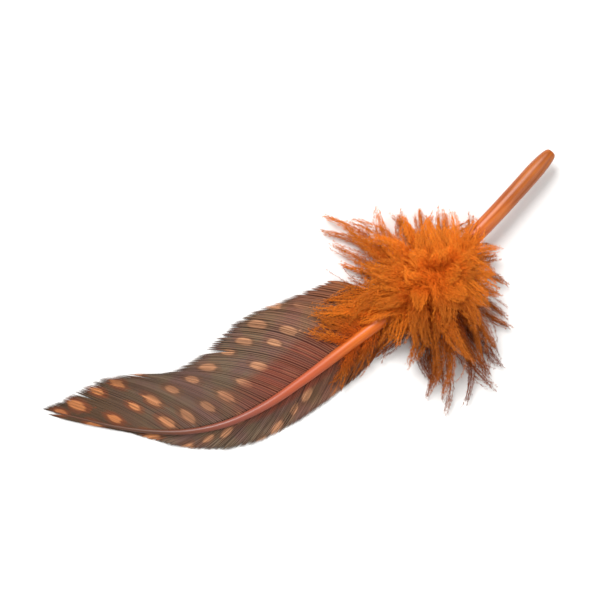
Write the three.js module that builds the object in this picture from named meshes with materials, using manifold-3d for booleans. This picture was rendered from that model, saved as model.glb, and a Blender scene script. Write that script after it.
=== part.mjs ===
// A dyed wing feather that lies on its underside, in millimetres.
// +X runs from the end of the quill to the tip of the vane, +Y is the side of the narrow web, +Z is up.
// It grew as one piece, so the quill, the shaft, both webs and the down are joined in one solid.

import * as THREE from "three";
import { mergeVertices } from "three/addons/utils/BufferGeometryUtils.js";
import Module from "manifold-3d";

const wasm = await Module();
wasm.setup();

// Driving dimensions. Places are measured from the quill's end, and middle moves them to the
// feather's own middle.
const middle = new THREE.Vector3(47.16, 11.71, 0);
const quillRadius = 1.45;
const quillSides = 10;
const webThickness = 0.7;
const webFlatFrom = 0.72; // share of a barb past which it lies flat on the surface
const barbBow = 0.1; // how far a barb bends towards the tip, as a share of its length
const vaneCells = { along: 40, wide: 6, narrow: 3 };
const tuft = { alongShaft: 29, spread: 8, height: 12 };
const lock = { halfWidth: 1.8, halfThickness: 0.9, curl: 26, uneven: 0.07, sides: 5 };
const heart = { radii: [9, 7.5, 3.6], height: 4.6 }; // the dense middle of the down
const split = { from: 0.7, to: 1.2, width: 1.1 }; // a gap between barbs, as shares of a barb, and its width
const splitPlaces = [0.3, 0.52, 0.72]; // along the vane, in its wide web
const surface = { wide: 300, deep: 20 }; // a block of what the feather lies on
const mergeDistance = 1e-4;

const up = new THREE.Vector3(0, 0, 1);

// The middle of the shaft, from the quill's end almost to the tip
const shaft = new THREE.CatmullRomCurve3(
  [
    [-0.5, -0.3, 3.0],
    [15.8, 5.8, 3.7],
    [33.7, 11.1, 4.0],
    [45.2, 13.4, 3.3],
    [53.4, 14.9, 2.6],
    [60.8, 15.9, 2.0],
    [68.1, 15.7, 1.5],
    [74.8, 13.9, 1.15],
    [80.6, 10.9, 0.85],
    [85.6, 7.4, 0.65],
    [89.8, 3.9, 0.5],
    [93.2, 1.0, 0.4],
  ].map((p) => new THREE.Vector3(...p)),
  false,
  "centripetal",
);
shaft.arcLengthDivisions = 400;
const shaftLength = shaft.getLength();

// Radius of the quill and shaft, as a share of quillRadius, at a distance from the quill's end.
// Past the last point the shaft is as thin as the vane.
const shaftProfile = [
  [0, 0],
  [0.55, 0.1],
  [0.86, 1.6],
  [1, 4.5],
  [1, 17],
  [0.86, 32],
  [0.69, 46],
  [0.55, 58],
  [0.44, 70],
  [0.36, 79],
  [0, 86],
];

// Barbs of the vane: where a pair leaves the shaft, then the ends of the wide and the narrow web's,
// seen from above
const barbPairs = [
  [36.0, [39.6, 2.2], [40.5, 17.2]],
  [40.6, [48.6, 1.6], [45.9, 18.9]],
  [48.0, [58.6, 0.9], [54.5, 20.6]],
  [54.5, [66.7, 3.2], [61.0, 21.1]],
  [60.5, [73.3, 3.5], [66.8, 20.7]],
  [67.0, [79.0, 1.0], [72.3, 18.8]],
  [74.5, [84.0, -0.7], [78.1, 15.0]],
  [81.5, [88.3, -0.6], [83.3, 10.1]],
  [89.0, [92.0, -0.4], [89.2, 5.4]],
  [94.6, [94.0, -0.5], [92.8, 2.4]],
  [99.0, [95.0, -0.4], [94.8, 0.4]],
];
const wideWeb = evenCurve(barbPairs.map(([from, wide]) => [from, ...wide]));
const narrowWeb = evenCurve(barbPairs.map(([from, , narrow]) => [from, ...narrow]));

// How far the down reaches from its middle, in each direction seen from above: degrees from +X,
// and millimetres
const tuftReach = [
  [-180, 13],
  [-115, 12.5],
  [-80, 13.5],
  [-60, 22.5],
  [-43, 18],
  [-27, 15.5],
  [-10, 22],
  [6, 15.5],
  [30, 18],
  [56, 18.5],
  [80, 25],
  [98, 21],
  [127, 15.5],
  [160, 13],
  [180, 13],
];

// The locks stand in rings, the lowest first. reach is a share of the tuft's, and crest and tip
// of its height.
const lockRings = [
  { locks: 22, start: 3, reach: 1, crest: 0.16, tip: 0.08 },
  { locks: 18, start: 11, reach: 0.86, crest: 0.5, tip: 0.22 },
  { locks: 14, start: 7, reach: 0.66, crest: 0.8, tip: 0.5 },
  { locks: 7, start: 20, reach: 0.36, crest: 0.95, tip: 0.8 },
];

// A curve that passes its points at even steps
function evenCurve(points) {
  return new THREE.CatmullRomCurve3(points.map((p) => new THREE.Vector3(...p)), false, "catmullrom", 0.5);
}

// A closed solid from a three.js geometry, with its points moved by place
function solidFrom(geometry, place) {
  geometry.deleteAttribute("normal");
  geometry.deleteAttribute("uv");
  const merged = mergeVertices(geometry, mergeDistance);
  const positions = merged.attributes.position;
  const point = new THREE.Vector3();
  for (let i = 0; i < positions.count; i++) {
    point.fromBufferAttribute(positions, i);
    place(point);
    positions.setXYZ(i, point.x, point.y, point.z);
  }
  const triVerts = new Uint32Array(merged.index.array);
  return new wasm.Manifold(new wasm.Mesh({ numProp: 3, vertProperties: positions.array, triVerts }));
}

// A round bar of a given profile, laid along a curve: x of a point goes to the right, y ahead and z up
function bar(profile, sides, curve, length, width, height) {
  const outline = profile.map(([radius, along]) => new THREE.Vector2(radius, along));
  return solidFrom(new THREE.LatheGeometry(outline, sides), (point) => {
    const share = THREE.MathUtils.clamp(point.y / length, 0, 1);
    const ahead = curve.getTangentAt(share);
    const right = ahead.clone().cross(up).normalize();
    const over = right.clone().cross(ahead);
    const [across, lift] = [point.x * width, point.z * height];
    point.copy(curve.getPointAt(share)).addScaledVector(right, across).addScaledVector(over, lift);
  });
}

// A point of the vane. u runs from the first barbs to the last, and v from the edge of the wide web, at -1,
// over the shaft, at 0, to the edge of the narrow web, at 1.
function vanePoint(u, v) {
  const barb = (v < 0 ? wideWeb : narrowWeb).getPoint(u);
  const share = barb.x / shaftLength;
  const root = shaft.getPointAt(share);
  const along = shaft.getTangentAt(share).setZ(0);
  const end = new THREE.Vector3(barb.y, barb.z, webThickness / 2);
  const reach = end.clone().sub(root).setZ(0);
  const back = along.projectOnPlane(reach.clone().normalize()).multiplyScalar(-barbBow * reach.length());
  const bend = root.clone().addScaledVector(reach, 0.5).addScaledVector(back, 2);
  const point = new THREE.QuadraticBezierCurve3(root, bend, end).getPoint(Math.abs(v));
  const fall = THREE.MathUtils.smoothstep(Math.abs(v), 0, webFlatFrom);
  return point.setZ(THREE.MathUtils.lerp(root.z, end.z, fall));
}

// Both webs as one thin plate that passes through the shaft
function vaneSolid() {
  const { along, wide, narrow } = vaneCells;
  const box = new THREE.BoxGeometry(1, 1, 1, along, 1, wide + narrow);
  return solidFrom(box, (point) => {
    const lift = point.y * webThickness;
    const cell = (point.z + 0.5) * (wide + narrow);
    const v = cell < narrow ? (narrow - cell) / narrow : (narrow - cell) / wide;
    point.copy(vanePoint(point.x + 0.5, v));
    point.z += lift;
  });
}

// A wedge that parts the barbs of the wide web at u, from their middle to past its edge
function splitSolid(u) {
  const [from, to] = [split.from, split.to].map((w) => vanePoint(u, -w));
  const side = to.clone().sub(from).cross(up).normalize().multiplyScalar(split.width / 2);
  const corners = [from, to.clone().add(side), to.clone().sub(side)];
  const outline = new THREE.Shape(corners.map((p) => new THREE.Vector2(p.x, p.y)));
  const wedge = new THREE.ExtrudeGeometry(outline, { depth: tuft.height, bevelEnabled: false });
  return solidFrom(wedge, (point) => point.setZ(point.z - tuft.height / 2));
}

function reachTowards(degrees) {
  const next = tuftReach.findIndex(([angle]) => angle >= degrees);
  const [after, before] = [tuftReach[next], tuftReach[Math.max(next - 1, 0)]];
  const share = THREE.MathUtils.smoothstep(degrees, before[0], after[0]);
  return THREE.MathUtils.lerp(before[1], after[1], share);
}

// An irregular number from -1 to 1 for lock number i, the same each time
function scatter(i, salt) {
  const wave = Math.sin(i * 12.9898 + salt * 78.233) * 43758.5453;
  return 2 * (wave - Math.floor(wave)) - 1;
}

// The middle line of lock number i of a ring, from inside the tuft, up over its crest and down to its tip
function lockCurve(ring, i) {
  const key = 100 * ring.reach + i;
  const step = 360 / ring.locks;
  const turned = ring.start + step * (i + 0.3 * scatter(key, 1));
  const degrees = THREE.MathUtils.euclideanModulo(turned + 180, 360) - 180;
  const towards = THREE.MathUtils.degToRad(degrees);
  const reach = reachTowards(degrees) * ring.reach * (0.96 + 0.04 * scatter(key, 2));
  const curl = THREE.MathUtils.degToRad(0.5 * lock.curl * scatter(key, 3));
  const centre = shaft.getPointAt(tuft.alongShaft / shaftLength);
  const from = tuft.alongShaft + tuft.spread * ring.reach * Math.cos(towards);
  const root = shaft.getPointAt(from / shaftLength);
  const outward = (angle, distance, z) =>
    new THREE.Vector3(Math.cos(angle), Math.sin(angle), 0).multiplyScalar(distance).add(centre).setZ(z);
  const uneven = ring.crest * lock.uneven * scatter(key, 4);
  const [crest, tipHeight] = [ring.crest + uneven, ring.tip + uneven].map((share) => share * tuft.height);
  const rise = outward(towards, 0.3 * reach, crest);
  const knee = outward(towards - curl, 0.66 * reach, crest);
  const tip = outward(towards + curl, reach, tipHeight);
  return new THREE.CubicBezierCurve3(root, rise, knee, tip);
}

function lockSolid(ring, i) {
  const curve = lockCurve(ring, i);
  const length = curve.getLength();
  const profile = [
    [0, 0],
    [0.6, 0.06],
    [1, 0.36],
    [0.85, 0.66],
    [0.4, 0.88],
    [0, 1],
  ].map(([radius, share]) => [radius, share * length]);
  return bar(profile, lock.sides, curve, length, lock.halfWidth, lock.halfThickness);
}

function heartSolid() {
  const centre = shaft.getPointAt(tuft.alongShaft / shaftLength);
  const ball = new THREE.SphereGeometry(1, 12, 8);
  return solidFrom(ball, (point) => {
    point.set(point.x * heart.radii[0], point.y * heart.radii[1], point.z * heart.radii[2]);
    point.add(centre).setZ(point.z - centre.z + heart.height);
  });
}

// The surface that the feather lies on, which nothing goes below
function surfaceSolid() {
  const block = new THREE.BoxGeometry(surface.wide, surface.wide, surface.deep);
  return solidFrom(block, (point) => point.setZ(point.z - surface.deep / 2));
}

const joined = (solids) => solids.reduce((whole, next) => whole.add(next));

// The solid inside the outer skin, which fills the pockets that the locks close off between them
const outermost = (solid) => solid.decompose().reduce((a, b) => (a.volume() > b.volume() ? a : b));

const ringSolids = (ring) => Array.from({ length: ring.locks }, (_, i) => lockSolid(ring, i));
const down = joined([heartSolid(), ...lockRings.flatMap(ringSolids)]);
const vane = vaneSolid().subtract(joined(splitPlaces.map(splitSolid)));
const quill = bar(shaftProfile, quillSides, shaft, shaftLength, quillRadius, quillRadius);
const fused = joined([quill, vane, down.subtract(surfaceSolid())]);
const whole = outermost(fused).getMesh();

const geometry = new THREE.BufferGeometry();
geometry.setAttribute("position", new THREE.BufferAttribute(new Float32Array(whole.vertProperties), 3));
geometry.setIndex(new THREE.BufferAttribute(new Uint32Array(whole.triVerts), 1));
geometry.computeVertexNormals();

const feather = new THREE.Mesh(
  geometry,
  new THREE.MeshStandardMaterial({ color: 0x7d5b50, roughness: 0.8, metalness: 0 }),
);
feather.name = "feather";
feather.position.copy(middle).negate();

const part = new THREE.Group();
part.add(feather);

export default part;
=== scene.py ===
# A dyed wing feather lying on a white table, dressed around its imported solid.
# The lists below are in millimetres from the quill's end, as in the part's source. Meshes are in metres.

import math

import bmesh
import bpy
import numpy as np
from mathutils import Matrix, Vector


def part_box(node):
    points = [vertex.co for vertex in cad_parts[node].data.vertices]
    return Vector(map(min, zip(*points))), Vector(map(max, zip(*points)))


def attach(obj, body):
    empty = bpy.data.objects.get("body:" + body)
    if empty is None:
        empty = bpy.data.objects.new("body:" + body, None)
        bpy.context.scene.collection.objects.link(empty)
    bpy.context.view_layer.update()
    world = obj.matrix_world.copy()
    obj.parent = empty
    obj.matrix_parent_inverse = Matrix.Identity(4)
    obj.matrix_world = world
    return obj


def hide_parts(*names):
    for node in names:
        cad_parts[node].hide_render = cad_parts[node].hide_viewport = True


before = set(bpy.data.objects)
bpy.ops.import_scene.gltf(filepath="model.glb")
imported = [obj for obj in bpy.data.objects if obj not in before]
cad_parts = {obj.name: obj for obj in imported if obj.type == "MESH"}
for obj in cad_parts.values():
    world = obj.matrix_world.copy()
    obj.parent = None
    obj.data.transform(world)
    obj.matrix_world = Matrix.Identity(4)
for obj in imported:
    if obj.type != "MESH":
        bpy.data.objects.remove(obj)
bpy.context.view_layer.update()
print("frame loaded")

mm = 0.001
upwards = np.array([0.0, 0.0, 1.0])
inPlan = np.array([1.0, 1.0, 0.0])  # takes the height out of a vector
# Where the quill's end lies in the frame, so that the lists can start from it
quillEnd = np.array([-47.16, -11.71, 0.0])


# Numbers and curves


def mix(a, b, share):
    return a + (b - a) * share


def smooth(share, low, high):
    share = np.clip((share - low) / (high - low), 0, 1)
    return share * share * (3 - 2 * share)


def unit(vectors):
    return vectors / np.maximum(np.linalg.norm(vectors, axis=-1, keepdims=True), 1e-9)


def curveThrough(points, samples, evenly):
    # a smooth curve through the points, with equally many samples from each to the next
    points = np.array(points, float)
    rows = np.vstack([2 * points[0] - points[1], points, 2 * points[-1] - points[-2]])
    place = np.linspace(0, len(points) - 1, samples)
    before = np.minimum(place.astype(int), len(points) - 2)
    share = (place - before)[:, None]
    a, b, c, d = (rows[before + k] for k in range(4))
    if evenly:
        leave, arrive = (c - a) / 2, (d - b) / 2
    else:
        # unevenly spaced points count by the root of their distance, so that the curve doesn't swing out
        ab, bc, cd = (np.linalg.norm(q - p, axis=1)[:, None] ** 0.5 for p, q in ((a, b), (b, c), (c, d)))
        leave = ((b - a) / ab - (c - a) / (ab + bc) + (c - b) / bc) * bc
        arrive = ((c - b) / bc - (d - b) / (bc + cd) + (d - c) / cd) * bc
    square = 3 * (c - b) - 2 * leave - arrive
    cube = 2 * (b - c) + leave + arrive
    return b + share * (leave + share * (square + share * cube))


def bezier(controls, share):
    # controls (..., 4, 3) and share (..., k) give points (..., k, 3)
    s = share[..., None]
    a, b, c, d = (controls[..., None, k, :] for k in range(4))
    return a * (1 - s) ** 3 + 3 * b * s * (1 - s) ** 2 + 3 * c * s * s * (1 - s) + d * s**3


# The shaft and the webs' edges, as the solid has them

shaftPoints = [
    [-0.5, -0.3, 3.0],
    [15.8, 5.8, 3.7],
    [33.7, 11.1, 4.0],
    [45.2, 13.4, 3.3],
    [53.4, 14.9, 2.6],
    [60.8, 15.9, 2.0],
    [68.1, 15.7, 1.5],
    [74.8, 13.9, 1.15],
    [80.6, 10.9, 0.85],
    [85.6, 7.4, 0.65],
    [89.8, 3.9, 0.5],
    [93.2, 1.0, 0.4],
]
shaftSamples = 2400
shaftLine = curveThrough(shaftPoints, shaftSamples, False)
shaftMarks = np.concatenate([[0], np.cumsum(np.linalg.norm(np.diff(shaftLine, axis=0), axis=1))])
shaftLength = shaftMarks[-1]
shaftCourse = unit(np.gradient(shaftLine, axis=0))

# The shaft's half width at marks along it
shaftRadii = [
    [0.1, 0.62],
    [0.25, 0.84],
    [0.55, 1.0],
    [1.1, 1.15],
    [2.2, 1.3],
    [3.6, 1.41],
    [5.0, 1.45],
    [17, 1.45],
    [32, 1.25],
    [46, 1.0],
    [58, 0.8],
    [70, 0.62],
    [79, 0.46],
    [90, 0.26],
    [shaftLength, 0.1],
]


def onShaft(mark):
    return np.stack([np.interp(mark, shaftMarks, shaftLine[:, k]) for k in range(3)], -1)


def shaftAhead(mark):
    return unit(np.stack([np.interp(mark, shaftMarks, shaftCourse[:, k]) for k in range(3)], -1))


def shaftRadius(mark):
    marks, radii = np.array(shaftRadii).T
    return np.interp(mark, marks, radii)


# Where a pair of barbs leaves the shaft, then the ends of the wide and the narrow web's, seen from above
barbPairs = [
    [36.0, [39.6, 2.2], [40.5, 17.2]],
    [40.6, [48.6, 1.6], [45.9, 18.9]],
    [48.0, [58.6, 0.9], [54.5, 20.6]],
    [54.5, [66.7, 3.2], [61.0, 21.1]],
    [60.5, [73.3, 3.5], [66.8, 20.7]],
    [67.0, [79.0, 1.0], [72.3, 18.8]],
    [74.5, [84.0, -0.7], [78.1, 15.0]],
    [81.5, [88.3, -0.6], [83.3, 10.1]],
    [89.0, [92.0, -0.4], [89.2, 5.4]],
    [94.6, [94.0, -0.5], [92.8, 2.4]],
    [99.0, [95.0, -0.4], [94.8, 0.4]],
]
wide, narrow = 1, 2  # the two webs' columns in that list
webSurface = {"thickness": 0.7, "flatFrom": 0.72, "bow": 0.1, "samples": 1500}


def edgeLine(web):
    # rows of the mark where a barb leaves the shaft and the place where it ends
    return curveThrough([[row[0], *row[web]] for row in barbPairs], webSurface["samples"], True)


def webPoint(web, marks, share):
    # points (n, k, 3) of a web, at share (n, k) of the barbs that leave the shaft at marks (n, k)
    ends = edgeLine(web)
    tip = np.stack([np.interp(marks, ends[:, 0], ends[:, k]) for k in (1, 2)], -1)
    tip = np.concatenate([tip, np.full(tip.shape[:-1] + (1,), webSurface["thickness"] / 2)], -1)
    root = onShaft(marks)
    along = shaftAhead(marks) * inPlan
    reach = (tip - root) * inPlan
    length = np.linalg.norm(reach, axis=-1, keepdims=True)
    toEdge = unit(reach)
    back = (along - (along * toEdge).sum(-1, keepdims=True) * toEdge) * -webSurface["bow"] * length
    bend = root + 0.5 * reach + 2 * back
    s = share[..., None]
    points = root * (1 - s) ** 2 + 2 * bend * s * (1 - s) + tip * s * s
    points[..., 2] = mix(root[..., 2], tip[..., 2], smooth(share, 0, webSurface["flatFrom"]))
    return points


# Meshes joined from arrays


def blankOf(sides, rings):
    # a ball that strands are drawn out of: the ring and the side that each vertex stands in, and the faces
    bm = bmesh.new()
    bmesh.ops.create_uvsphere(bm, u_segments=sides, v_segments=rings, radius=1)
    bmesh.ops.triangulate(bm, faces=bm.faces)
    bm.verts.index_update()
    rises = [1 - math.acos(max(-1, min(1, v.co.z))) / math.pi for v in bm.verts]
    turns = [math.atan2(v.co.y, v.co.x) / (2 * math.pi) for v in bm.verts]
    ring = np.array([round(rings * rise) for rise in rises])
    side = np.array([round(sides * turn) % sides for turn in turns])
    faces = np.array([[v.index for v in face.verts] for face in bm.faces])
    bm.free()
    return {"ring": ring, "side": side, "pole": (ring == 0) | (ring == rings), "faces": faces}


def drawnOut(blank, section, spine, across, over):
    # strands as points (n, v, 3): a blank's rings stand along spine (n, rings + 1, 3), and section gives how
    # far each side stands off it, in shares of across and over
    ring, side = blank["ring"], blank["side"]
    off = np.array(section)[side] * ~blank["pole"][:, None]
    return spine[:, ring] + across[:, ring] * off[:, :1] + over[:, ring] * off[:, 1:]


def addStrands(name, batches, material):
    # one piece from batches of alike strands, each with its blank, its points (n, v, 3) in mm, its UV map
    # (n, v, 2) and perhaps marks (n, v, 3) by name, which become attributes
    bodies, faces, maps = [], [], []
    marks, first = {}, 0
    for batch in batches:
        count, size = batch["points"].shape[:2]
        step = first + size * np.arange(count)[:, None, None]
        faces.append((batch["blank"]["faces"][None] + step).reshape(-1, 3))
        bodies.append(batch["points"].reshape(-1, 3))
        maps.append(batch["map"].reshape(-1, 2))
        for key, value in batch.get("marks", {}).items():
            marks.setdefault(key, []).append(value.reshape(-1, 3))
        first += count * size
    points = (np.concatenate(bodies) + quillEnd) * mm
    faces = np.concatenate(faces).astype(np.int32)
    mesh = bpy.data.meshes.new(name)
    mesh.vertices.add(len(points))
    mesh.vertices.foreach_set("co", points.astype(np.float32).ravel())
    mesh.loops.add(faces.size)
    mesh.loops.foreach_set("vertex_index", faces.ravel())
    mesh.polygons.add(len(faces))
    mesh.polygons.foreach_set("loop_start", np.arange(0, faces.size, 3, dtype=np.int32))
    mesh.polygons.foreach_set("use_smooth", np.ones(len(faces), bool))
    mesh.update(calc_edges=True)
    layer = mesh.uv_layers.new(name="OFBake")
    layer.data.foreach_set("uv", np.concatenate(maps)[faces.ravel()].astype(np.float32).ravel())
    for key, values in marks.items():
        attribute = mesh.attributes.new(key, "FLOAT_VECTOR", "POINT")
        attribute.data.foreach_set("vector", np.concatenate(values).astype(np.float32).ravel())
    mesh.validate()
    addPiece(mesh, material)


def addPiece(mesh, material):
    mesh.materials.append(material)
    piece = bpy.data.objects.new(mesh.name, mesh)
    bpy.context.scene.collection.objects.link(piece)
    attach(piece, "root")
    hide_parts("feather")
    print(piece.name, "has", sum(len(p.vertices) - 2 for p in mesh.polygons), "triangles")


# Materials


def linear(hexColour):
    values = [int(hexColour[i : i + 2], 16) / 255 for i in (1, 3, 5)]
    return [v / 12.92 if v <= 0.04045 else ((v + 0.055) / 1.055) ** 2.4 for v in values] + [1.0]


def newMaterial(name):
    material = bpy.data.materials.new(name)
    material.use_nodes = True
    tree = material.node_tree
    shader = next(n for n in tree.nodes if n.type == "BSDF_PRINCIPLED")
    return material, tree, shader


def setInputs(node, inputs):
    # inputs by name, or a list in the order that the editor shows: a node or a socket is linked, a hex colour
    # turns to linear and anything else is a value
    byName = isinstance(inputs, dict)
    keys = inputs if byName else [k for k, socket in enumerate(node.inputs) if socket.enabled]
    for key, value in zip(keys, inputs.values() if byName else inputs):
        if isinstance(value, bpy.types.Node):
            value = next(output for output in value.outputs if output.enabled)
        if isinstance(value, bpy.types.NodeSocket):
            node.id_data.links.new(value, node.inputs[key])
        else:
            node.inputs[key].default_value = linear(value) if isinstance(value, str) else value


def addNode(tree, kind, inputs, **settings):
    # kind is the node's type without the ShaderNode in front
    node = tree.nodes.new("ShaderNode" + kind)
    for key, value in settings.items():
        setattr(node, key, value)
    setInputs(node, inputs)
    return node


# Settings that many nodes share: a map range that eases in and out, a mix of colours and a product
eased = {"interpolation_type": "SMOOTHSTEP"}
inColour = {"data_type": "RGBA"}
product = {"operation": "MULTIPLY"}


def marked(tree, name):
    # the three values that a mesh carries under this name
    attribute = addNode(tree, "Attribute", [], attribute_name=name)
    return addNode(tree, "SeparateXYZ", [attribute.outputs["Vector"]]).outputs


# Dyed keratin of the quill and shaft: smooth horn with a soft gloss and faint streaks along it, about 8 mm
# long and half a radius wide. Each of the further colours comes in between two marks.
quillLooks = {
    "horn": ["#90450C", "#B4601A"],
    "hornEnds": [6, 24],
    "shaft": ["#C45A10", "#D8701C"],
    "further": [[43, 55, "#B85632"], [54, 70, "#8E4C3C"], [66, 86, "#5A3826"]],
    # painted shade: the colour that the sides and underside of the quill and shaft are darkened towards, and
    # by how much
    "sides": "#8A3D22",
    "shadedSidesShare": 0.45,
    "ridge": [-0.1, 0.85],
    "streaks": {"shrink": 0.06, "Scale": 2.2, "Detail": 3.0, "range": [0.3, 0.7]},
    "roughness": [0.2, 0.8, 0.3, 0.46],
    "bump": {"Strength": 0.25, "Distance": 0.08 * mm},
}


def quillMaterial():
    material, tree, shader = newMaterial("dyed quill horn")
    streaks = quillLooks["streaks"]
    along, across, height = marked(tree, "quillPlace")
    shrunk = addNode(tree, "Math", [along, streaks["shrink"]], **product)
    place = addNode(tree, "CombineXYZ", [shrunk, across, height])
    fine = {"Vector": place, "Scale": streaks["Scale"], "Detail": streaks["Detail"]}
    streak = addNode(tree, "TexNoise", fine)
    streaky = addNode(tree, "MapRange", [streak, *streaks["range"]], **eased)
    horn, shaft = (addNode(tree, "Mix", [streaky, *quillLooks[k]], **inColour) for k in ("horn", "shaft"))
    hornEnds = addNode(tree, "MapRange", [along, *quillLooks["hornEnds"]], **eased)
    colour = addNode(tree, "Mix", [hornEnds, horn, shaft], **inColour)
    for low, high, further in quillLooks["further"]:
        comesIn = addNode(tree, "MapRange", [along, low, high], **eased)
        colour = addNode(tree, "Mix", [comesIn, colour, further], **inColour)
    # painted light and shade: the ridge on top keeps the paler full colour, as if lit, and the sides and
    # underside are painted darker along the whole quill and shaft
    ridge = addNode(tree, "MapRange", [height, *quillLooks["ridge"]], **eased)
    sides = addNode(tree, "Mix", [quillLooks["shadedSidesShare"], colour, quillLooks["sides"]], **inColour)
    keratin = {
        "Base Color": addNode(tree, "Mix", [ridge, sides, colour], **inColour),
        "Roughness": addNode(tree, "MapRange", [streak, *quillLooks["roughness"]], **eased),
        "Normal": addNode(tree, "Bump", {"Height": streak, **quillLooks["bump"]}),
        "IOR": 1.54,
        "Subsurface Weight": 0.12,
        "Subsurface Radius": (0.6, 0.25, 0.1),
        "Subsurface Scale": 0.8 * mm,
        "Specular IOR Level": 0.3,
        "Coat Weight": 0.08,
        "Coat Roughness": 0.25,
    }
    setInputs(shader, keratin)
    return material


# Pale spots in rows on a brown ground. Their places come from a lattice in millimetres.
spots = {
    "pitch": 3.6,
    "first": 0.4,
    "stagger": 0.19,
    "rows": 5.15,
    "firstRow": 0.7,
    "scattered": 0.22,
    "halfLong": 1.45,
    "halfWide": 0.64,
    "sizes": [0.8, 1.2],
    "edge": [1.15, 0.7],
    "ring": [2.2, 1.1],
}


def spotMasks(tree, a, b):
    # 1 in a spot and in the ring round it, by the place a along the rows and b across them
    fromFirst = addNode(tree, "Math", [b, spots["firstRow"]], operation="SUBTRACT")
    row = addNode(tree, "Math", [fromFirst, spots["rows"]], operation="DIVIDE")
    whole = addNode(tree, "Math", [row], operation="ROUND")
    shift = addNode(tree, "Math", [whole, spots["stagger"], spots["first"]], operation="MULTIPLY_ADD")
    column = addNode(tree, "Math", [a, spots["pitch"]], operation="DIVIDE")
    column = addNode(tree, "Math", [column, shift], operation="ADD")
    place = addNode(tree, "CombineXYZ", [column, row])
    lattice = {"Vector": place, "Scale": 1.0, "Randomness": spots["scattered"]}
    cells = addNode(tree, "TexVoronoi", lattice, voronoi_dimensions="2D", feature="F1")
    centre = addNode(tree, "SeparateXYZ", [cells.outputs["Position"]]).outputs
    awayA = addNode(tree, "Math", [column, centre[0]], operation="SUBTRACT")
    awayA = addNode(tree, "Math", [awayA, spots["pitch"]], **product)
    awayB = addNode(tree, "Math", [row, centre[1]], operation="SUBTRACT")
    awayB = addNode(tree, "Math", [awayB, spots["rows"]], **product)
    # a spot is longest along its barb
    courseA, courseB, skew = marked(tree, "barbCourse")
    awayB = addNode(tree, "Math", [awayA, skew, awayB], operation="MULTIPLY_ADD")
    longWay = addNode(tree, "Math", [awayA, courseA], **product)
    longWay = addNode(tree, "Math", [awayB, courseB, longWay], operation="MULTIPLY_ADD")
    wideWay = addNode(tree, "Math", [awayB, courseA], **product)
    crossing = addNode(tree, "Math", [awayA, courseB], **product)
    wideWay = addNode(tree, "Math", [wideWay, crossing], operation="SUBTRACT")
    squares = []
    for way, half in ((longWay, "halfLong"), (wideWay, "halfWide")):
        share = addNode(tree, "Math", [way, spots[half]], operation="DIVIDE")
        squares.append(addNode(tree, "Math", [share, 2.0], operation="POWER"))
    away = addNode(tree, "Math", squares, operation="ADD")
    away = addNode(tree, "Math", [away], operation="SQRT")
    size = addNode(tree, "SeparateColor", [cells.outputs["Color"]])
    size = addNode(tree, "MapRange", [size, 0.0, 1.0, *spots["sizes"]], **eased)
    away = addNode(tree, "Math", [away, size], operation="DIVIDE")
    return [addNode(tree, "MapRange", [away, *spots[key]], **eased) for key in ("edge", "ring")]


# Barbs hooked into a web: matt, fibrous, mottled brown with a rusty strip beside the shaft and pale spots
vaneLooks = {
    "ground": ["#684A46", "#6A5A46"],
    "warmBase": ["#7E5042", "#7C5C40"],
    "darkTip": "#4E3820",
    "rings": ["#74482E", "#8C3C0C"],
    "spots": ["#CC9068", "#EC9656"],
    "strip": "#7C2A16",
    "stripShare": 0.9,
    "stripWidth": [8.0, 5.2],
    "looseBase": "#B0622F",
    "looseBaseShare": 0.75,
    "barbs": ["#B4B0AC", "#FFFFFF"],
    "ridge": "#C48E62",
    "ridgeShare": 0.22,
    "ridgeWidth": [0.45, 0.0],
    "hatch": "#4A3028",
    "hatchShare": 0.16,
    "roughness": [0.0, 1.0, 0.62, 0.42],
    "bump": {"Strength": 0.4, "Distance": 0.05 * mm},
}
# What comes in from the first to the second of two marks along the feather. The rings grow there from one
# share to another.
vaneMarks = {
    "warmBase": [64, 50],
    "darkTip": [74, 88],
    "spotsStart": [46, 52],
    "ringsGrow": [66, 84, 0.45, 0.85],
    "orangeTip": [70, 86],
    "stripEnds": [72, 58],
    "looseBase": [52, 38],
}
patches = {"Scale": 0.22, "Detail": 3.0, "range": [0.38, 0.62]}  # about 4.5 mm across
# The barbules' hatch, in radians for each mm along a barb and each half width across it. Its lines are 0.2 mm
# apart, which is coarser than real, so that they show.
hatches = {"along": 30.0, "across": 5.0}


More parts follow.
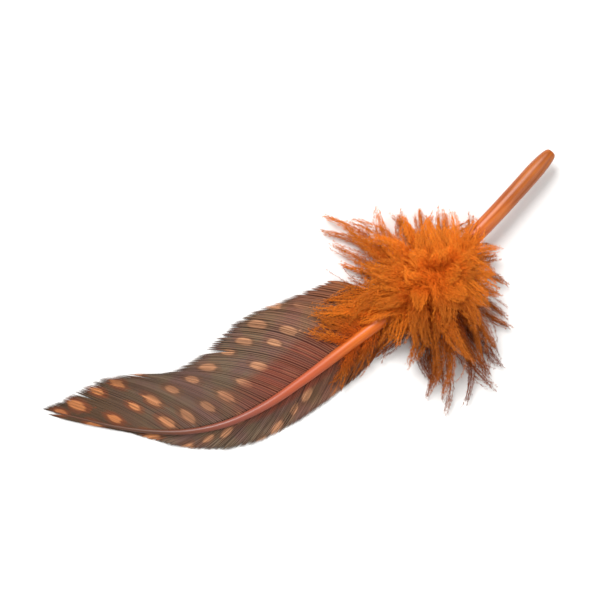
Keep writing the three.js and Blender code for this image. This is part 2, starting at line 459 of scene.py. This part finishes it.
def webMaterial():
    material, tree, shader = newMaterial("dyed barbs of the web")
    a, b, fromShaft = marked(tree, "markingPlace")
    alongBarb, acrossBarb, tone = marked(tree, "barbPlace")
    comesIn = {key: addNode(tree, "MapRange", [a, *marks], **eased) for key, marks in vaneMarks.items()}
    # the brown ground
    place = addNode(tree, "CombineXYZ", [a, b])
    coarse = {"Vector": place, "Scale": patches["Scale"], "Detail": patches["Detail"]}
    patch = addNode(tree, "TexNoise", coarse)
    patch = addNode(tree, "MapRange", [patch, *patches["range"]], **eased)
    grounds = (addNode(tree, "Mix", [patch, *vaneLooks[k]], **inColour) for k in ("ground", "warmBase"))
    ground = addNode(tree, "Mix", [comesIn["warmBase"], *grounds], **inColour)
    ground = addNode(tree, "Mix", [comesIn["darkTip"], ground, vaneLooks["darkTip"]], **inColour)
    # the spots and their rusty rings, both more orange at the tip
    spot, ring = spotMasks(tree, a, b)
    ring = addNode(tree, "Math", [ring, comesIn["ringsGrow"]], **product)
    colour = ground
    for mask, key in ((ring, "rings"), (spot, "spots")):
        mask = addNode(tree, "Math", [mask, comesIn["spotsStart"]], **product)
        dye = addNode(tree, "Mix", [comesIn["orangeTip"], *vaneLooks[key]], **inColour)
        colour = addNode(tree, "Mix", [mask, colour, dye], **inColour)
    # the rusty strip, and the warm colour of the vane's base
    strip = addNode(tree, "MapRange", [fromShaft, *vaneLooks["stripWidth"]], **eased)
    strip = addNode(tree, "Math", [strip, comesIn["stripEnds"]], **product)
    for mask, key in ((strip, "strip"), (comesIn["looseBase"], "looseBase")):
        mask = addNode(tree, "Math", [mask, vaneLooks[key + "Share"]], **product)
        colour = addNode(tree, "Mix", [mask, colour, vaneLooks[key]], **inColour)
    # each barb is a little lighter or darker, its ridge is paler and the barbules beside it make a fine hatch
    shade = addNode(tree, "Mix", [tone, *vaneLooks["barbs"]], **inColour)
    colour = addNode(tree, "Mix", [1.0, colour, shade], blend_type="MULTIPLY", **inColour)
    ridge = addNode(tree, "Math", [acrossBarb], operation="ABSOLUTE")
    ridge = addNode(tree, "MapRange", [ridge, *vaneLooks["ridgeWidth"]], **eased)
    slant = addNode(tree, "Math", [acrossBarb, hatches["across"]], **product)
    wave = addNode(tree, "Math", [alongBarb, hatches["along"], slant], operation="MULTIPLY_ADD")
    wave = addNode(tree, "Math", [wave], operation="SINE")
    hatch = addNode(tree, "MapRange", [wave, -1.0, 1.0], **eased)
    for mask, key in ((ridge, "ridge"), (hatch, "hatch")):
        mask = addNode(tree, "Math", [mask, vaneLooks[key + "Share"]], **product)
        colour = addNode(tree, "Mix", [mask, colour, vaneLooks[key]], **inColour)
    fibres = {
        "Base Color": colour,
        "Roughness": addNode(tree, "MapRange", [ridge, *vaneLooks["roughness"]], **eased),
        "Normal": addNode(tree, "Bump", {"Height": hatch, **vaneLooks["bump"]}),
        "IOR": 1.5,
        "Specular IOR Level": 0.3,
        "Sheen Weight": 0.06,
        "Sheen Roughness": 0.5,
    }
    setInputs(shader, fibres)
    return material


# Down: loose fine barbules that scatter the light, so it looks deep and matt with bright tips. Its darker
# colour is brown dye and painted shade.
downLooks = {
    "bright": ["#FF7608", "#FF9024"],
    # the dull pair is a darker, browner copy of the dye: brown dye on the loose barbs and painted shade on
    # the tuft
    "dullAndShaded": ["#A8400A", "#7C340E"],
    "tips": [0.1, 0.8],
    "sheen": "#FF9024",
}


def downMaterial():
    material, tree, shader = newMaterial("dyed down")
    place = addNode(tree, "UVMap", [], uv_map="OFBake")
    along, shade, _ = addNode(tree, "SeparateXYZ", [place]).outputs
    tipward = addNode(tree, "MapRange", [along, *downLooks["tips"]], **eased)
    # painted shade: the dull colour darkens the locks that lie low or away from the light
    bright, dullAndShaded = (addNode(tree, "Mix", [tipward, *downLooks[k]], **inColour) for k in ("bright", "dullAndShaded"))
    fluff = {
        "Base Color": addNode(tree, "Mix", [shade, bright, dullAndShaded], **inColour),
        "Roughness": 0.7,
        "IOR": 1.5,
        "Specular IOR Level": 0.25,
        "Sheen Weight": 0.3,
        "Sheen Roughness": 0.4,
        "Sheen Tint": downLooks["sheen"],
    }
    setInputs(shader, fluff)
    return material


# The quill and shaft: a straight tube is drawn out, shaped, given its mouth and then laid along the shaft

# Its rings crowd towards the mouth, and a groove runs along its underside from the vane on
quill = {
    "sides": 24,
    "rings": 190,
    "crowd": 1.45,
    "first": 0.1,
    "hole": 0.4,
    "holeDepth": 1.4,
    "flat": 0.93,
    "groove": 0.2,
    "grooveEdge": 8,
    "grooveFrom": 26,
    "grooveFull": 40,
}


def makeQuill(material):
    bm = bmesh.new()
    bmesh.ops.create_circle(bm, segments=quill["sides"], radius=1)
    stretch = {"axis": (0, 0, 1), "cent": (0, 0, 0), "dvec": (0, 0, 1), "angle": 0, "steps": quill["rings"]}
    bmesh.ops.spin(bm, geom=bm.edges[:], **stretch)
    for vertex in bm.verts:
        mark = max(quill["first"], shaftLength * (vertex.co.z / quill["rings"]) ** quill["crowd"])
        under = max(0.0, -vertex.co.y) ** quill["grooveEdge"]
        groove = quill["groove"] * under * smooth(mark, quill["grooveFrom"], quill["grooveFull"])
        radius = shaftRadius(mark) * (1 - groove)
        vertex.co = Vector((vertex.co.x * radius, vertex.co.y * radius * quill["flat"], mark))
    ends = bmesh.ops.holes_fill(bm, edges=bm.edges[:], sides=0)["faces"]
    mouth = min(ends, key=lambda face: face.calc_center_median().z)
    bmesh.ops.inset_individual(bm, faces=[mouth], thickness=quill["hole"] * shaftRadii[0][1])
    pushed = bmesh.ops.extrude_discrete_faces(bm, faces=[mouth])["faces"][0]
    bmesh.ops.translate(bm, verts=pushed.verts[:], vec=(0, 0, quill["holeDepth"]))
    bmesh.ops.recalc_face_normals(bm, faces=bm.faces[:])
    # the straight tube is laid along the shaft, and keeps its old place for its material
    placeLayer = bm.verts.layers.float_vector.new("quillPlace")
    for vertex in bm.verts:
        x, y, mark = vertex.co
        radius = shaftRadius(mark)
        ahead = shaftAhead(mark)
        right = unit(np.cross(ahead, upwards))
        point = onShaft(mark) + right * x + np.cross(right, ahead) * y
        vertex[placeLayer] = Vector((mark, x / radius, y / radius))
        vertex.co = Vector((point + quillEnd) * mm)
    mesh = bpy.data.meshes.new("quill")
    bm.to_mesh(mesh)
    bm.free()
    mesh.shade_smooth()
    addPiece(mesh, material)


# The two webs of the vane, each a row of barbs that lie over one another like ribbons

webs = {
    "wideWeb": {
        "web": wide,
        "barbs": 160,
        "from": 37.5,
        "to": 98.0,
        "splits": [0.3, 0.52, 0.72],
        "smallSplits": 6,
        "strip": 1,
    },
    "narrowWeb": {
        "web": narrow,
        "barbs": 130,
        "from": 38.0,
        "to": 98.4,
        "splits": [],
        "smallSplits": 8,
        "strip": 0.55,
    },
}
# Widths, ends and unevenness are shares of a barb's spacing or length, roll is in degrees, the rest in mm
barb = {
    "rings": 26,
    "crowd": 0.9,
    "overlap": 1.55,
    "rootWidth": 0.35,
    "rootEnds": 0.05,
    "tipWidth": 0.3,
    "tipStarts": 0.82,
    "thickness": 0.1,
    "thinTip": 0.45,
    "uneven": 0.2,
    "ragged": 0.045,
    "roll": 7,
    "lowest": 0.02,
    "markingsUneven": 0.16,
}
barbSection = [[1, -0.25], [0.2, 0.3], [0, 0.8], [-0.2, 0.3], [-1, 0.05], [-0.15, -0.45], [0.15, -0.45]]
ripple = {"height": 0.1, "slow": 0.45, "quick": 1.3, "quickShare": 0.6, "uneven": 0.35, "from": 0.25}
split = {"from": 0.62, "shift": 0.5, "fade": 2.4}
smallSplit = {"from": 0.8, "shift": 0.22, "fade": 1.1}
smallSplitMarks = [42, 92]
# Towards the vane's base the rows of spots turn to the shaft
rowsBend = {"from": 62.0, "slope": 0.55, "soften": 2.5}
# A barb's half width in its strip of the UV map, and how far its top and underside lie from its middle there
barbMap = {"half": 0.42, "fold": 0.02}


def rowsPlace(points):
    # places along the rows of spots and across them, and the skew that the bend of the rows gives there
    before = (rowsBend["from"] - points[..., 0]) / rowsBend["soften"]
    across = points[..., 1] + rowsBend["slope"] * rowsBend["soften"] * np.logaddexp(0, before)
    return np.stack([points[..., 0], across, rowsBend["slope"] / (1 + np.exp(-before))], -1)


def splitShift(facts, marks, share, rng):
    # how far the barbs part at each split, most at the edge
    edgeMarks = edgeLine(facts["web"])[:, 0]
    partings = [(np.interp(u, np.linspace(0, 1, len(edgeMarks)), edgeMarks), split) for u in facts["splits"]]
    partings += [(mark, smallSplit) for mark in rng.uniform(*smallSplitMarks, facts["smallSplits"])]
    shift = np.zeros(share.shape)
    for place, kind in partings:
        aside = (marks - place)[:, None]
        width = np.sign(aside) * kind["shift"] * smooth(share, kind["from"], 1)
        shift += width * np.exp(-np.abs(aside) / kind["fade"])
    return shift


def barbWays(plain, spine):
    # ahead along each barb, across it, up out of the web, and how far apart the barbs lie
    ahead = unit(np.gradient(spine, axis=1))
    across = np.gradient(plain, axis=0)
    across = across - (across * ahead).sum(-1, keepdims=True) * ahead
    spacing = np.linalg.norm(across, axis=-1, keepdims=True)
    over = unit(np.cross(ahead, across))
    over = over * np.sign(over[..., 2:])
    return ahead, np.cross(over, ahead), over, spacing


def rippled(marks, share, rng):
    wave = rng.uniform(0, 6.28, 3)
    height = np.sin(marks * ripple["slow"] + wave[0])
    height = height + ripple["quickShare"] * np.sin(marks * ripple["quick"] + wave[1])
    height = height + rng.normal(0, ripple["uneven"], len(marks))
    return ripple["height"] * height[:, None] * smooth(share, ripple["from"], 1)


def webMap(count, blank, section):
    # each barb has a strip of the map, and its top and underside lie a hair apart
    ring = np.broadcast_to(blank["ring"] / barb["rings"], (count, len(blank["ring"])))
    number = np.arange(count)[:, None] + 0.5
    upDown = np.where(np.array(barbSection)[blank["side"], 1] > 0, 1, -1)
    return np.stack([ring, (number + barbMap["half"] * section + barbMap["fold"] * upDown) / count], -1)


def webMarks(facts, spine, ahead, points, blank, section, rng):
    # what the material reads: the place in the markings, the barb's course and the place on the barb
    count, ring = len(spine), blank["ring"]
    tone = rng.random((count, 1)) * np.ones(len(ring))
    steps = np.linalg.norm(np.diff(spine, axis=1), axis=-1)
    length = np.concatenate([np.zeros((count, 1)), np.cumsum(steps, 1)], 1)[:, ring]
    jitter = rng.normal(0, barb["markingsUneven"], (count, 1, 1))
    rows = rowsPlace(points + jitter * ahead[:, ring])
    course = unit(ahead * inPlan)[:, ring]
    return {
        "markingPlace": np.concatenate([rows[..., :2], length[..., None] / facts["strip"]], -1),
        "barbCourse": np.concatenate([course[..., :2], rows[..., 2:]], -1),
        "barbPlace": np.stack([length, np.broadcast_to(section, tone.shape), tone], -1),
    }


def makeWeb(name, material, seed):
    facts, rng = webs[name], np.random.default_rng(seed)
    count, steps = facts["barbs"], barb["rings"] + 1
    marks = np.linspace(facts["from"], facts["to"], count)
    marks = marks + rng.uniform(-barb["uneven"], barb["uneven"], count) * (marks[1] - marks[0])
    reach = 1 - barb["ragged"] * rng.random(count) ** 2
    share = np.linspace(0, 1, steps)[None, :] ** barb["crowd"] * reach[:, None]
    plain = webPoint(facts["web"], np.repeat(marks[:, None], steps, 1), share)
    spine = webPoint(facts["web"], marks[:, None] + splitShift(facts, marks, share, rng), share)
    ahead, across, over, spacing = barbWays(plain, spine)
    spine[..., 2] += rippled(marks, share, rng)
    roll = np.radians(rng.normal(0, barb["roll"], (count, 1, 1)))
    across, over = across * np.cos(roll) + over * np.sin(roll), over * np.cos(roll) - across * np.sin(roll)
    part = (share / reach[:, None])[..., None]
    root = mix(barb["rootWidth"], 1.0, smooth(part, 0, barb["rootEnds"]))
    taper = root * mix(1.0, barb["tipWidth"], smooth(part, barb["tipStarts"], 1.0))
    halfWidth = 0.5 * barb["overlap"] * spacing * taper
    thickness = barb["thickness"] * mix(1.0, barb["thinTip"], part)
    blank = blankOf(len(barbSection), barb["rings"])
    points = drawnOut(blank, barbSection, spine, across * halfWidth, over * thickness)
    points[..., 2] = np.maximum(points[..., 2], barb["lowest"])
    section = np.array(barbSection)[blank["side"], 0] * ~blank["pole"]
    batch = {
        "blank": blank,
        "points": points,
        "map": webMap(count, blank, section),
        "marks": webMarks(facts, spine, ahead, points, blank, section, rng),
    }
    addStrands(name, [batch], material)


# The down: every lock of the solid guides some barbs, and each barb carries fine barbules

# The tuft and its four rings of locks, as the solid has them
tuft = {
    "alongShaft": 29,
    "spread": 8,
    "height": 12,
    "rise": 0.3,
    "fall": 0.66,
    "curl": 26,
    "uneven": 0.07,
    "turnUneven": 0.3,
    "reachUneven": 0.04,
}
tuftReach = [
    [-180, 13],
    [-115, 12.5],
    [-80, 13.5],
    [-60, 22.5],
    [-43, 18],
    [-27, 15.5],
    [-10, 22],
    [6, 15.5],
    [30, 18],
    [56, 18.5],
    [80, 25],
    [98, 21],
    [127, 15.5],
    [160, 13],
    [180, 13],
]
lockRings = {
    "downLow": {"locks": 22, "start": 3, "reach": 1, "crest": 0.16, "tip": 0.08},
    "downMiddle": {"locks": 18, "start": 11, "reach": 0.86, "crest": 0.5, "tip": 0.22},
    "downHigh": {"locks": 14, "start": 7, "reach": 0.66, "crest": 0.8, "tip": 0.5},
    "downCrown": {"locks": 7, "start": 20, "reach": 0.36, "crest": 0.95, "tip": 0.8},
}
# The barbs of each lock, the barbules of each barb, and the locks added between others where the tuft is
# fullest: on its low side and in the long arm across from it
lockBarbs = {
    "downLow": {"barbs": 9, "barbules": 120, "between": [3.5, 4.5, 5.25, 5.5, 6.5, 18.5]},
    "downMiddle": {"barbs": 11, "barbules": 120, "between": [2.5, 3.5, 4.5, 14.25]},
    "downHigh": {"barbs": 12, "barbules": 100, "between": []},
    "downCrown": {"barbs": 14, "barbules": 70, "between": []},
}
# Short locks at the crown: square to the shaft in the middle, and turned by the fan's degrees at the two ends
crownLocks = {
    "locks": 32,
    "from": 21.5,
    "to": 35.5,
    "fan": 60,
    "uneven": 18,
    "reach": [6, 11.5],
    "shorter": [0.5, 0.15],
    "droop": 0.55,
    "crest": [8.2, 9.9],
    "barbs": 9,
    "barbules": 60,
    "loose": 0.5,
    # the crown's locks get hardly any of the painted shade, as they lie highest, in the light
    "dullnessAndShade": 0.05,
    "dullnessUneven": 0.06,
}
# A crown lock's four points: how far out (in mm, or in reaches), how high in crests, their share of the droop
crownArch = [[-2.6, 0.5, 0], [-2.9, 1.02, 0.4], [0.55, 1.06, 0.6], [1.0, 0.74, 1]]
downBarb = {
    "rings": 10,
    "radius": 0.055,
    "thinTip": 0.6,
    "spread": [0.96, 1.8, 1.8, 0.45],
    "alongRoot": 0.8,
    "loose": 0.35,
    "lift": 0.7,
    "shorter": 0.12,
    "pointed": 0.16,
}
barbule = {
    "length": 1.5,
    "lengths": [0.6, 1.15],
    "shortRoot": 0.45,
    "rootEnds": 0.3,
    "shortTip": 0.38,
    "tipStarts": 0.35,
    "halfWidth": 0.032,  # thicker than real, so that it shows
    "first": 0.06,
    "lookAhead": 0.02,
    "fan": 0.55,
    "angle": 52,
    "tipAngle": 22,
    "angleUneven": 8,
    "bend": 0.16,
    "towardsTip": 0.35,
}
# On the UV map a strand's sides and rings lie these steps apart, so that no face of it is without a width
downMap = {"side": 0.006, "ring": 0.01, "uneven": 0.02, "from": 0.001, "to": 0.999}
# How low the down and the roots of its barbs may lie, and how far inside the solid's box its barbs end, so
# that their barbules reach it
downRoom = {"lowest": 0.03, "rootLowest": 0.3, "inside": 0.8}
threeSides = [[math.cos(a), math.sin(a)] for a in np.radians([0, 120, 240])]

# How dull the down is, from 0 to 1: painted shade makes it darker low in the tuft and on its low side, away
# from the light, and it is a little uneven
dullnessAndShade = {
    "level": 0.5,
    "lessShadeByCrest": 0.45,
    "shadeByLowSide": 0.55,
    "lowSideAt": 75,
    "leastLowSide": -0.3,
    "crestFades": 0.6,
    "locksUneven": 0.12,
    "barbsUneven": 0.07,
    "from": 0.03,
    "to": 0.97,
}


def scatter(i, salt):
    # a number from -1 to 1 that looks drawn but is the same each time, as in the solid
    wave = math.sin(i * 12.9898 + salt * 78.233) * 43758.5453
    return 2 * (wave - math.floor(wave)) - 1


def reachTowards(degrees):
    after = next(k for k, row in enumerate(tuftReach) if row[0] >= degrees)
    low, high = tuftReach[max(after - 1, 0)], tuftReach[after]
    return mix(low[1], high[1], smooth(degrees, low[0], high[0]) if high[0] > low[0] else 0)


def lockGuide(ring, i):
    # the four points that bend the middle line of a lock, just as in the solid, and the way it points
    key = 100 * ring["reach"] + i
    turned = ring["start"] + 360 / ring["locks"] * (i + tuft["turnUneven"] * scatter(key, 1))
    degrees = (turned + 180) % 360 - 180
    reach = reachTowards(degrees) * ring["reach"] * (1 + tuft["reachUneven"] * (scatter(key, 2) - 1))
    towards, curl = math.radians(degrees), math.radians(tuft["curl"] / 2 * scatter(key, 3))
    uneven = ring["crest"] * tuft["uneven"] * scatter(key, 4)
    crest, tip = ((ring[k] + uneven) * tuft["height"] for k in ("crest", "tip"))
    centre = onShaft(tuft["alongShaft"])
    root = onShaft(tuft["alongShaft"] + tuft["spread"] * ring["reach"] * math.cos(towards))

    def outward(angle, distance, z):
        return [centre[0] + math.cos(angle) * distance, centre[1] + math.sin(angle) * distance, z]

    rise = outward(towards, tuft["rise"] * reach, crest)
    fall = outward(towards - curl, tuft["fall"] * reach, crest)
    return [root, rise, fall, outward(towards + curl, reach, tip)], degrees


def levelAcross(ways):
    # level directions across the ways: upwards is tilted a hair, so that no way runs along it
    return unit(np.cross(np.broadcast_to(upwards, ways.shape) + 0.01, ways))


def barbStrands(controls, shade):
    count, steps = len(controls), downBarb["rings"] + 1
    share = np.broadcast_to(np.linspace(0, 1, steps), (count, steps))
    spine = bezier(controls, share)
    ahead = unit(np.gradient(spine, axis=1))
    across = levelAcross(ahead)
    over = np.cross(ahead, across)
    radius = downBarb["radius"] * mix(1.0, downBarb["thinTip"], share)[..., None]
    blank = blankOf(3, downBarb["rings"])
    points = drawnOut(blank, threeSides, spine, across * radius, over * radius)
    along = np.broadcast_to(blank["ring"] / downBarb["rings"], points.shape[:2])
    uv = np.stack([along, shade[:, None] + downMap["side"] * (blank["side"] - 1)], -1)
    return {"blank": blank, "points": points, "map": uv}


def barbuleStrands(controls, shade, barbules, rng, size):
    # barbules on both sides of each barb, longest at a third of its length
    count = len(controls)
    place = np.sort(rng.uniform(barbule["first"], 1.0, (count, barbules)), axis=1)
    root = bezier(controls, place)
    slope = unit(bezier(controls, place + barbule["lookAhead"]) - root)
    level = levelAcross(slope)
    upright = np.cross(slope, level)
    around = rng.normal(0, barbule["fan"], place.shape) + np.pi * (rng.random(place.shape) > 0.5)
    aside = level * np.cos(around)[..., None] + upright * np.sin(around)[..., None]
    degrees = mix(barbule["angle"], barbule["tipAngle"], place)
    angle = np.radians(degrees + rng.normal(0, barbule["angleUneven"], place.shape))[..., None]
    fromRoot = mix(barbule["shortRoot"], 1.0, smooth(place, 0.0, barbule["rootEnds"]))
    toTip = mix(1.0, barbule["shortTip"], smooth(place, barbule["tipStarts"], 1.0))
    length = barbule["length"] * size * fromRoot * toTip
    length = (length * rng.uniform(*barbule["lengths"], place.shape))[..., None]
    outwards = slope * np.cos(angle) + aside * np.sin(angle)
    bend = rng.normal(0, barbule["bend"], outwards.shape) * length
    middle = root + 0.5 * length * outwards + 0.5 * bend
    tip = root + length * unit(outwards + barbule["towardsTip"] * slope)
    line = np.stack([root, middle, tip], 2).reshape(-1, 3, 3)
    heading = unit(np.gradient(line, axis=1))
    across = unit(np.cross(heading, np.repeat(slope.reshape(-1, 1, 3), 3, 1) + 0.01))
    over = np.cross(heading, across)
    half = barbule["halfWidth"]
    thin = blankOf(3, 2)
    points = drawnOut(thin, threeSides, line, across * half, over * half)
    along = place.reshape(-1, 1) + downMap["ring"] * thin["ring"]
    tint = np.repeat(shade + rng.normal(0, downMap["uneven"], count), barbules)[:, None]
    uv = np.stack([along, tint + downMap["side"] * (thin["side"] - 1) * ~thin["pole"]], -1)
    return {"blank": thin, "points": points, "map": uv}


def downOn(controls, shade, barbules, rng, size=1.0):
    # barbs on four points each (n, 4, 3), with their barbules, as two batches of strands
    batches = [barbStrands(controls, shade), barbuleStrands(controls, shade, barbules, rng, size)]
    for batch in batches:
        batch["points"][..., 2] = np.maximum(batch["points"][..., 2], downRoom["lowest"])
        batch["map"] = np.clip(batch["map"], downMap["from"], downMap["to"])
    return batches


def spreadFrom(guides, barbs, rng, loose=1.0):
    # barbs about the guide of each lock: apart at its middle and together at its tip
    guides = np.repeat(np.array(guides), barbs, axis=0)
    heading = unit((guides[:, 3] - guides[:, 0]) * inPlan)
    aside = np.stack([-heading[:, 1], heading[:, 0], np.zeros(len(heading))], -1)
    lean = rng.normal(0, 1, (len(guides), 1))
    guides += aside[:, None] * (lean[:, None] * np.array(downBarb["spread"])[None, :, None] * 0.5)
    guides += rng.normal(0, downBarb["loose"] * loose, guides.shape)
    guides[:, 1:3, 2] += rng.normal(0, downBarb["lift"] * loose, (len(guides), 1))
    # the barbs in a lock's middle are the longest, so that it ends in a point
    short = 1 - downBarb["shorter"] * rng.random((len(guides), 1))
    short = short - downBarb["pointed"] * np.minimum(np.abs(lean), 2)
    guides[:, 3] = mix(guides[:, 2], guides[:, 3], short)
    guides[:, 0] += rng.normal(0, 1, (len(guides), 1)) * heading * downBarb["alongRoot"]
    low, high = (np.array(corner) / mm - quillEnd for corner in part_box("feather"))
    inside = downRoom["inside"]
    return np.clip(guides, low + [inside, inside, downRoom["rootLowest"]], high - inside)


def crownGuides(rng):
    # short locks that start on one side of the shaft, arch over it and fall to the other, so as to hide it
    guides = []
    for k, mark in enumerate(np.linspace(crownLocks["from"], crownLocks["to"], crownLocks["locks"])):
        root, ahead = onShaft(mark) * inPlan, shaftAhead(mark)
        end = 2 * k / (crownLocks["locks"] - 1) - 1  # -1 at the quill and 1 at the vane
        aside = 90 - crownLocks["fan"] * end + rng.uniform(-crownLocks["uneven"], crownLocks["uneven"])
        turn = math.atan2(ahead[1], ahead[0]) + math.radians(aside * (-1) ** k)
        way = np.array([math.cos(turn), math.sin(turn), 0])
        reach, crest = rng.uniform(*crownLocks["reach"]), rng.uniform(*crownLocks["crest"])
        reach *= 1 - crownLocks["shorter"][end > 0] * end**2
        droop = crownLocks["droop"] * end**2
        guide = []
        for out, up, part in crownArch:
            distance = out if out < 0 else out * reach
            height = crest * up * (1 - droop * part)
            guide.append(root + way * distance + upwards * height)
        guides.append(guide)
    return guides


def dulledAndShaded(values):
    # dullness and painted shade are also the second coordinate of the UV map, so they stay a little inside it
    return np.clip(values, dullnessAndShade["from"], dullnessAndShade["to"])


def makeDown(name, material, seed):
    ring, barbs, rng = lockRings[name], lockBarbs[name], np.random.default_rng(seed)
    guides, degrees = zip(*(lockGuide(ring, i) for i in [*range(ring["locks"]), *barbs["between"]]))
    controls = spreadFrom(guides, barbs["barbs"], rng)
    # painted shade: locks low in the tuft and on its low side, away from the light, are painted duller; high
    # locks less so
    lowSideShade = np.cos(np.radians(np.array(degrees) - dullnessAndShade["lowSideAt"]))
    lowSideShade = np.maximum(lowSideShade, dullnessAndShade["leastLowSide"]) * (1 - dullnessAndShade["crestFades"] * ring["crest"])
    lockShade = dullnessAndShade["level"] - dullnessAndShade["lessShadeByCrest"] * ring["crest"] + dullnessAndShade["shadeByLowSide"] * lowSideShade
    lockShade = lockShade + rng.normal(0, dullnessAndShade["locksUneven"], len(degrees))
    barbsUneven = rng.normal(0, dullnessAndShade["barbsUneven"], len(controls))
    shade = dulledAndShaded(np.repeat(lockShade, barbs["barbs"]) + barbsUneven)
    batches = downOn(controls, shade, barbs["barbules"], rng)
    if name == "downCrown":
        controls = spreadFrom(crownGuides(rng), crownLocks["barbs"], rng, crownLocks["loose"])
        shade = dulledAndShaded(rng.normal(crownLocks["dullnessAndShade"], crownLocks["dullnessUneven"], len(controls)))
        batches += downOn(controls, shade, crownLocks["barbules"], rng)
    addStrands(name, batches, material)


# Unhooked barbs where the down passes into the vane, lying over the first barbs of both webs

looseBarbs = {
    "barbules": 62,
    "size": 0.8,
    "lengths": [0.6, 1.0],
    "places": [0, 0.35, 0.7, 1.0],
    "leans": [0, 0.2, 0.6, 1.0],
    "lifts": [0, 0.8, 1.0, 0.7],
    "uneven": 0.7,
    "unevenWays": [1, 1, 0.3],
    "dullnessUneven": 0.12,
}
# The marks that they leave the shaft from, their reach at the first and last of those marks in shares of the
# web's barbs, how far they lean to the tip, how high they lie and how dull they are in dye and painted shade
looseSides = [
    {
        "web": wide,
        "barbs": 130,
        "marks": [30.5, 39.5],
        "reach": [0.6, 0.75],
        "lean": 5.5,
        "lift": [1.2, 3.2],
        "dullnessAndShade": 0.15,
    },
    {
        "web": wide,
        "barbs": 60,
        "marks": [36.0, 47.0],
        "reach": [0.8, 0.4],
        "lean": 1.0,
        "lift": [0.7, 1.8],
        "dullnessAndShade": 0.45,
    },
    {
        "web": wide,
        "barbs": 50,
        "marks": [28.5, 37.5],
        "reach": [1.08, 0.98],
        "lean": 0.0,
        "lift": [0.7, 1.8],
        "dullnessAndShade": 0.8,
    },
    {
        "web": narrow,
        "barbs": 70,
        "marks": [31.0, 47.0],
        "reach": [1.0, 0.8],
        "lean": 0.0,
        "lift": [0.7, 1.8],
        "dullnessAndShade": 0.65,
    },
]


def makeLooseBarbs(name, material, seed):
    rng, batches = np.random.default_rng(seed), []
    for side in looseSides:
        count = side["barbs"]
        marks = np.sort(rng.uniform(*side["marks"], count))
        onWeb = np.maximum(marks, barbPairs[0][0])
        reach = np.interp(marks, side["marks"], side["reach"])[:, None]
        reach = reach * rng.uniform(*looseBarbs["lengths"], (count, 1))
        controls = webPoint(side["web"], np.repeat(onWeb[:, None], 4, 1), reach * looseBarbs["places"])
        controls += (onShaft(marks) - onShaft(onWeb))[:, None]
        controls += shaftAhead(marks)[:, None] * side["lean"] * np.array(looseBarbs["leans"])[:, None]
        controls[..., 2] += rng.uniform(*side["lift"], (count, 1)) * looseBarbs["lifts"]
        controls[:, 2:] += rng.normal(0, looseBarbs["uneven"], (count, 2, 3)) * looseBarbs["unevenWays"]
        shade = dulledAndShaded(rng.normal(side["dullnessAndShade"], looseBarbs["dullnessUneven"], count))
        batches += downOn(controls, shade, looseBarbs["barbules"], rng, looseBarbs["size"])
    addStrands(name, batches, material)


# The stage, in metres: a white table, soft light from above and a camera that looks straight down

table = {"half": 8.0, "colour": "#F4F3F1", "roughness": 0.9}
look = {
    "right": (-0.8926, 0.4509, 0),
    "up": (-0.4509, -0.8926, 0),
    "place": (-0.0047, 0.0076, 0.238),
    "lens": 85,
    "sensor": 36,
}
room = {"colour": "#FFFFFF", "strength": 0.46}
lights = {
    "windowLight": {"place": (-1.4, 2.2, 3.0), "size": 2.0, "energy": 176},
    "fillLight": {"place": (2.4, -0.8, 2.4), "size": 2.8, "energy": 48},
}


def inView(place):
    # so far to the right of the view, up in it and above the table
    return Vector(look["right"]) * place[0] + Vector(look["up"]) * place[1] + Vector((0, 0, place[2]))


# The table is matt and a little warm, so that it stays pale and its shadows soft
def makeTable():
    bm = bmesh.new()
    bmesh.ops.create_grid(bm, x_segments=1, y_segments=1, size=table["half"])
    mesh = bpy.data.meshes.new("table")
    bm.to_mesh(mesh)
    bm.free()
    top = bpy.data.objects.new("table", mesh)
    material, _, shader = newMaterial("white table")
    setInputs(shader, {"Base Color": table["colour"], "Roughness": table["roughness"]})
    mesh.materials.append(material)
    bpy.context.scene.collection.objects.link(top)


def makeLights():
    world = bpy.data.worlds.new("room")
    world.use_nodes = True
    setInputs(world.node_tree.nodes["Background"], {"Color": room["colour"], "Strength": room["strength"]})
    bpy.context.scene.world = world
    for name, facts in lights.items():
        data = bpy.data.lights.new(name, "AREA")
        data.size, data.energy = facts["size"], facts["energy"]
        light = bpy.data.objects.new(name, data)
        light.location = inView(facts["place"])
        light.rotation_euler = (-light.location).to_track_quat("-Z", "Y").to_euler()
        bpy.context.scene.collection.objects.link(light)


def makeCamera():
    data = bpy.data.cameras.new("camera")
    data.lens, data.sensor_width = look["lens"], look["sensor"]
    camera = bpy.data.objects.new("camera", data)
    right, up = Vector(look["right"]), Vector(look["up"])
    turn = Matrix((right, up, right.cross(up))).transposed().to_4x4()
    turn.translation = inView(look["place"])
    camera.matrix_world = turn
    bpy.context.scene.collection.objects.link(camera)
    bpy.context.scene.camera = camera
    bpy.context.scene.view_settings.view_transform = "Standard"  # so that the dyes keep their own colours


makeTable()
makeLights()
makeCamera()
print("table, lights and camera placed")
makeQuill(quillMaterial())
webFinish = webMaterial()
makeWeb("wideWeb", webFinish, 11)
makeWeb("narrowWeb", webFinish, 12)
downFinish = downMaterial()
for seed, name in enumerate(lockRings, 21):
    makeDown(name, downFinish, seed)
makeLooseBarbs("looseBarbs", downFinish, 31)
